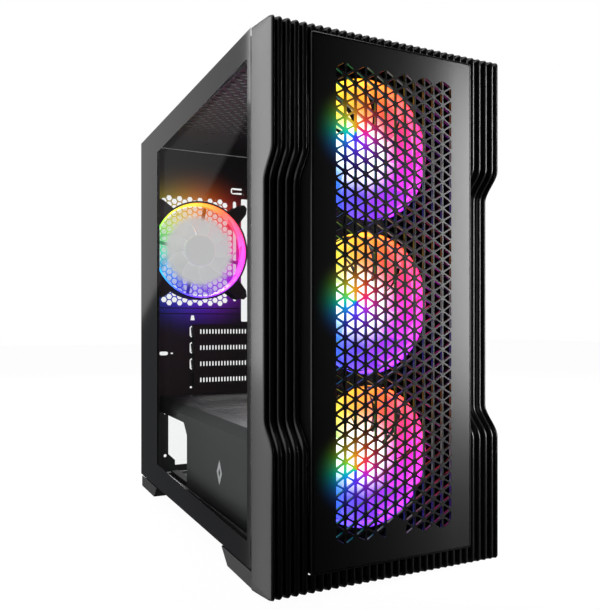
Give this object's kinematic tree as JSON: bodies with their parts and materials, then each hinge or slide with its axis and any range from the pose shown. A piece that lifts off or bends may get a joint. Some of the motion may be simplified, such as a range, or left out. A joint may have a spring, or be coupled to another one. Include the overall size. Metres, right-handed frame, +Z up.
{
  "type": "desktop computer tower",
  "caption": "Compact desktop computer case with a ribbed front, lattice grille, glass left side, covered power-supply bay and lit fans.",
  "frame": {"origin": "on the floor, under the centre of the whole tower's box", "axes": "+X to the viewer's right of the front, +Y from the front to the back, +Z up"},
  "size_m": [0.202, 0.4074, 0.417],
  "materials": {
    "black_steel": "fine black powder coat",
    "bezel_plastic": "satin black moulded plastic",
    "grille_plastic": "fine-grained black moulded plastic",
    "black_plastic": "satin black",
    "tinted_glass": "tempered, lightly tinted, black printed border",
    "fan_frame": "satin black",
    "fan_blades": "translucent milk white, lit from the hub",
    "light_ring": "translucent milk white, lit",
    "rubber": "matt",
    "black_zinc": "black zinc, turned",
    "filter_mesh": "woven nylon",
    "socket_metal": "nickel plate"
  },
  "bodies": {
    "chassis": {"base_pan": "black_steel", "rear_wall": "black_steel", "roof": "black_steel", "motherboard_tray": "black_steel", "front_frame": "black_steel", "psu_shroud": "black_steel", "drive_cage": "black_steel", "drive_bracket": "black_steel", "fan_hub": "black_plastic", "psu_pad_left": "rubber", "psu_pad_right": "rubber", "slot_cover_1": "black_steel", "slot_cover_2": "black_steel", "slot_cover_3": "black_steel", "slot_cover_4": "black_steel", "socket_strip": "black_plastic", "usb3_socket": "socket_metal", "usb2_socket_left": "socket_metal", "usb2_socket_right": "socket_metal", "headphone_socket": "black_plastic", "microphone_socket": "black_plastic", "foot_front_left": "black_plastic", "foot_pad_front_left": "rubber", "foot_front_right": "black_plastic", "foot_pad_front_right": "rubber", "foot_rear_left": "black_plastic", "foot_pad_rear_left": "rubber", "foot_rear_right": "black_plastic", "foot_pad_rear_right": "rubber", "front_fan_bottom_frame": "fan_frame", "front_fan_bottom_light_ring": "light_ring", "front_fan_middle_frame": "fan_frame", "front_fan_middle_light_ring": "light_ring", "front_fan_top_frame": "fan_frame", "front_fan_top_light_ring": "light_ring", "rear_fan_frame": "fan_frame", "rear_fan_light_ring": "light_ring"},
    "bezel": {"bezel_shell": "bezel_plastic", "panel_surround": "bezel_plastic", "front_grille": "grille_plastic"},
    "glass_panel": {"side_glass": "tinted_glass", "glass_frame": "black_steel"},
    "steel_side": {"right_panel": "black_steel", "right_panel_hem": "black_steel"},
    "front_fan_bottom_blades": {"front_fan_bottom_rotor": "fan_blades"},
    "front_fan_middle_blades": {"front_fan_middle_rotor": "fan_blades"},
    "front_fan_top_blades": {"front_fan_top_rotor": "fan_blades"},
    "rear_fan_blades": {"rear_fan_rotor": "fan_blades"},
    "glass_screw_top": {"glass_thumbscrew_top": "black_zinc"},
    "glass_screw_bottom": {"glass_thumbscrew_bottom": "black_zinc"},
    "right_screw_top": {"right_thumbscrew_top": "black_zinc"},
    "right_screw_bottom": {"right_thumbscrew_bottom": "black_zinc"},
    "top_dust_filter": {"top_filter": "filter_mesh"},
    "psu_dust_filter": {"psu_filter": "filter_mesh"},
    "power_key": {"power_button": "black_plastic"},
    "light_key": {"light_button": "black_plastic"}
  },
  "joints": [
    {"name": "front_fan_bottom_spin", "type": "hinge", "parent": "chassis", "child": "front_fan_bottom_blades", "pos_m": [0, -0.16245, 0.0909], "axis": [0, 1, 0], "continuous": true},
    {"name": "front_fan_middle_spin", "type": "hinge", "parent": "chassis", "child": "front_fan_middle_blades", "pos_m": [0, -0.16245, 0.2139], "axis": [0, 1, 0], "continuous": true},
    {"name": "front_fan_top_spin", "type": "hinge", "parent": "chassis", "child": "front_fan_top_blades", "pos_m": [0, -0.16245, 0.3369], "axis": [0, 1, 0], "continuous": true},
    {"name": "rear_fan_spin", "type": "hinge", "parent": "chassis", "child": "rear_fan_blades", "pos_m": [-0.0334, 0.16735, 0.2874], "axis": [0, 1, 0], "continuous": true},
    {"name": "bezel_pull", "type": "slide", "parent": "chassis", "child": "bezel", "axis": [0, -1, 0], "range_m": [0, 0.1]},
    {"name": "glass_slide", "type": "slide", "parent": "chassis", "child": "glass_panel", "axis": [0, 1, 0], "range_m": [0, 0.37]},
    {"name": "steel_side_slide", "type": "slide", "parent": "chassis", "child": "steel_side", "axis": [0, 1, 0], "range_m": [0, 0.37]},
    {"name": "glass_screw_top_turn", "type": "hinge", "parent": "glass_panel", "child": "glass_screw_top", "pos_m": [-0.0905, 0.19635, 0.372], "axis": [0, 1, 0], "range_deg": [0, 1080]},
    {"name": "glass_screw_bottom_turn", "type": "hinge", "parent": "glass_panel", "child": "glass_screw_bottom", "pos_m": [-0.0905, 0.19635, 0.07], "axis": [0, 1, 0], "range_deg": [0, 1080]},
    {"name": "right_screw_top_turn", "type": "hinge", "parent": "steel_side", "child": "right_screw_top", "pos_m": [0.0905, 0.19635, 0.372], "axis": [0, 1, 0], "range_deg": [0, 1080]},
    {"name": "right_screw_bottom_turn", "type": "hinge", "parent": "steel_side", "child": "right_screw_bottom", "pos_m": [0.0905, 0.19635, 0.07], "axis": [0, 1, 0], "range_deg": [0, 1080]},
    {"name": "top_filter_lift", "type": "slide", "parent": "chassis", "child": "top_dust_filter", "axis": [0, 0, 1], "range_m": [0, 0.06]},
    {"name": "psu_filter_slide", "type": "slide", "parent": "chassis", "child": "psu_dust_filter", "axis": [0, 1, 0], "range_m": [0, 0.165]},
    {"name": "power_press", "type": "slide", "parent": "chassis", "child": "power_key", "axis": [0, 0, -1], "range_m": [0, 0.0015], "stiffness_N_per_m": 400, "springref_m": -0.0015},
    {"name": "light_press", "type": "slide", "parent": "chassis", "child": "light_key", "axis": [0, 0, -1], "range_m": [0, 0.0012], "stiffness_N_per_m": 350, "springref_m": -0.0015}
  ]
}
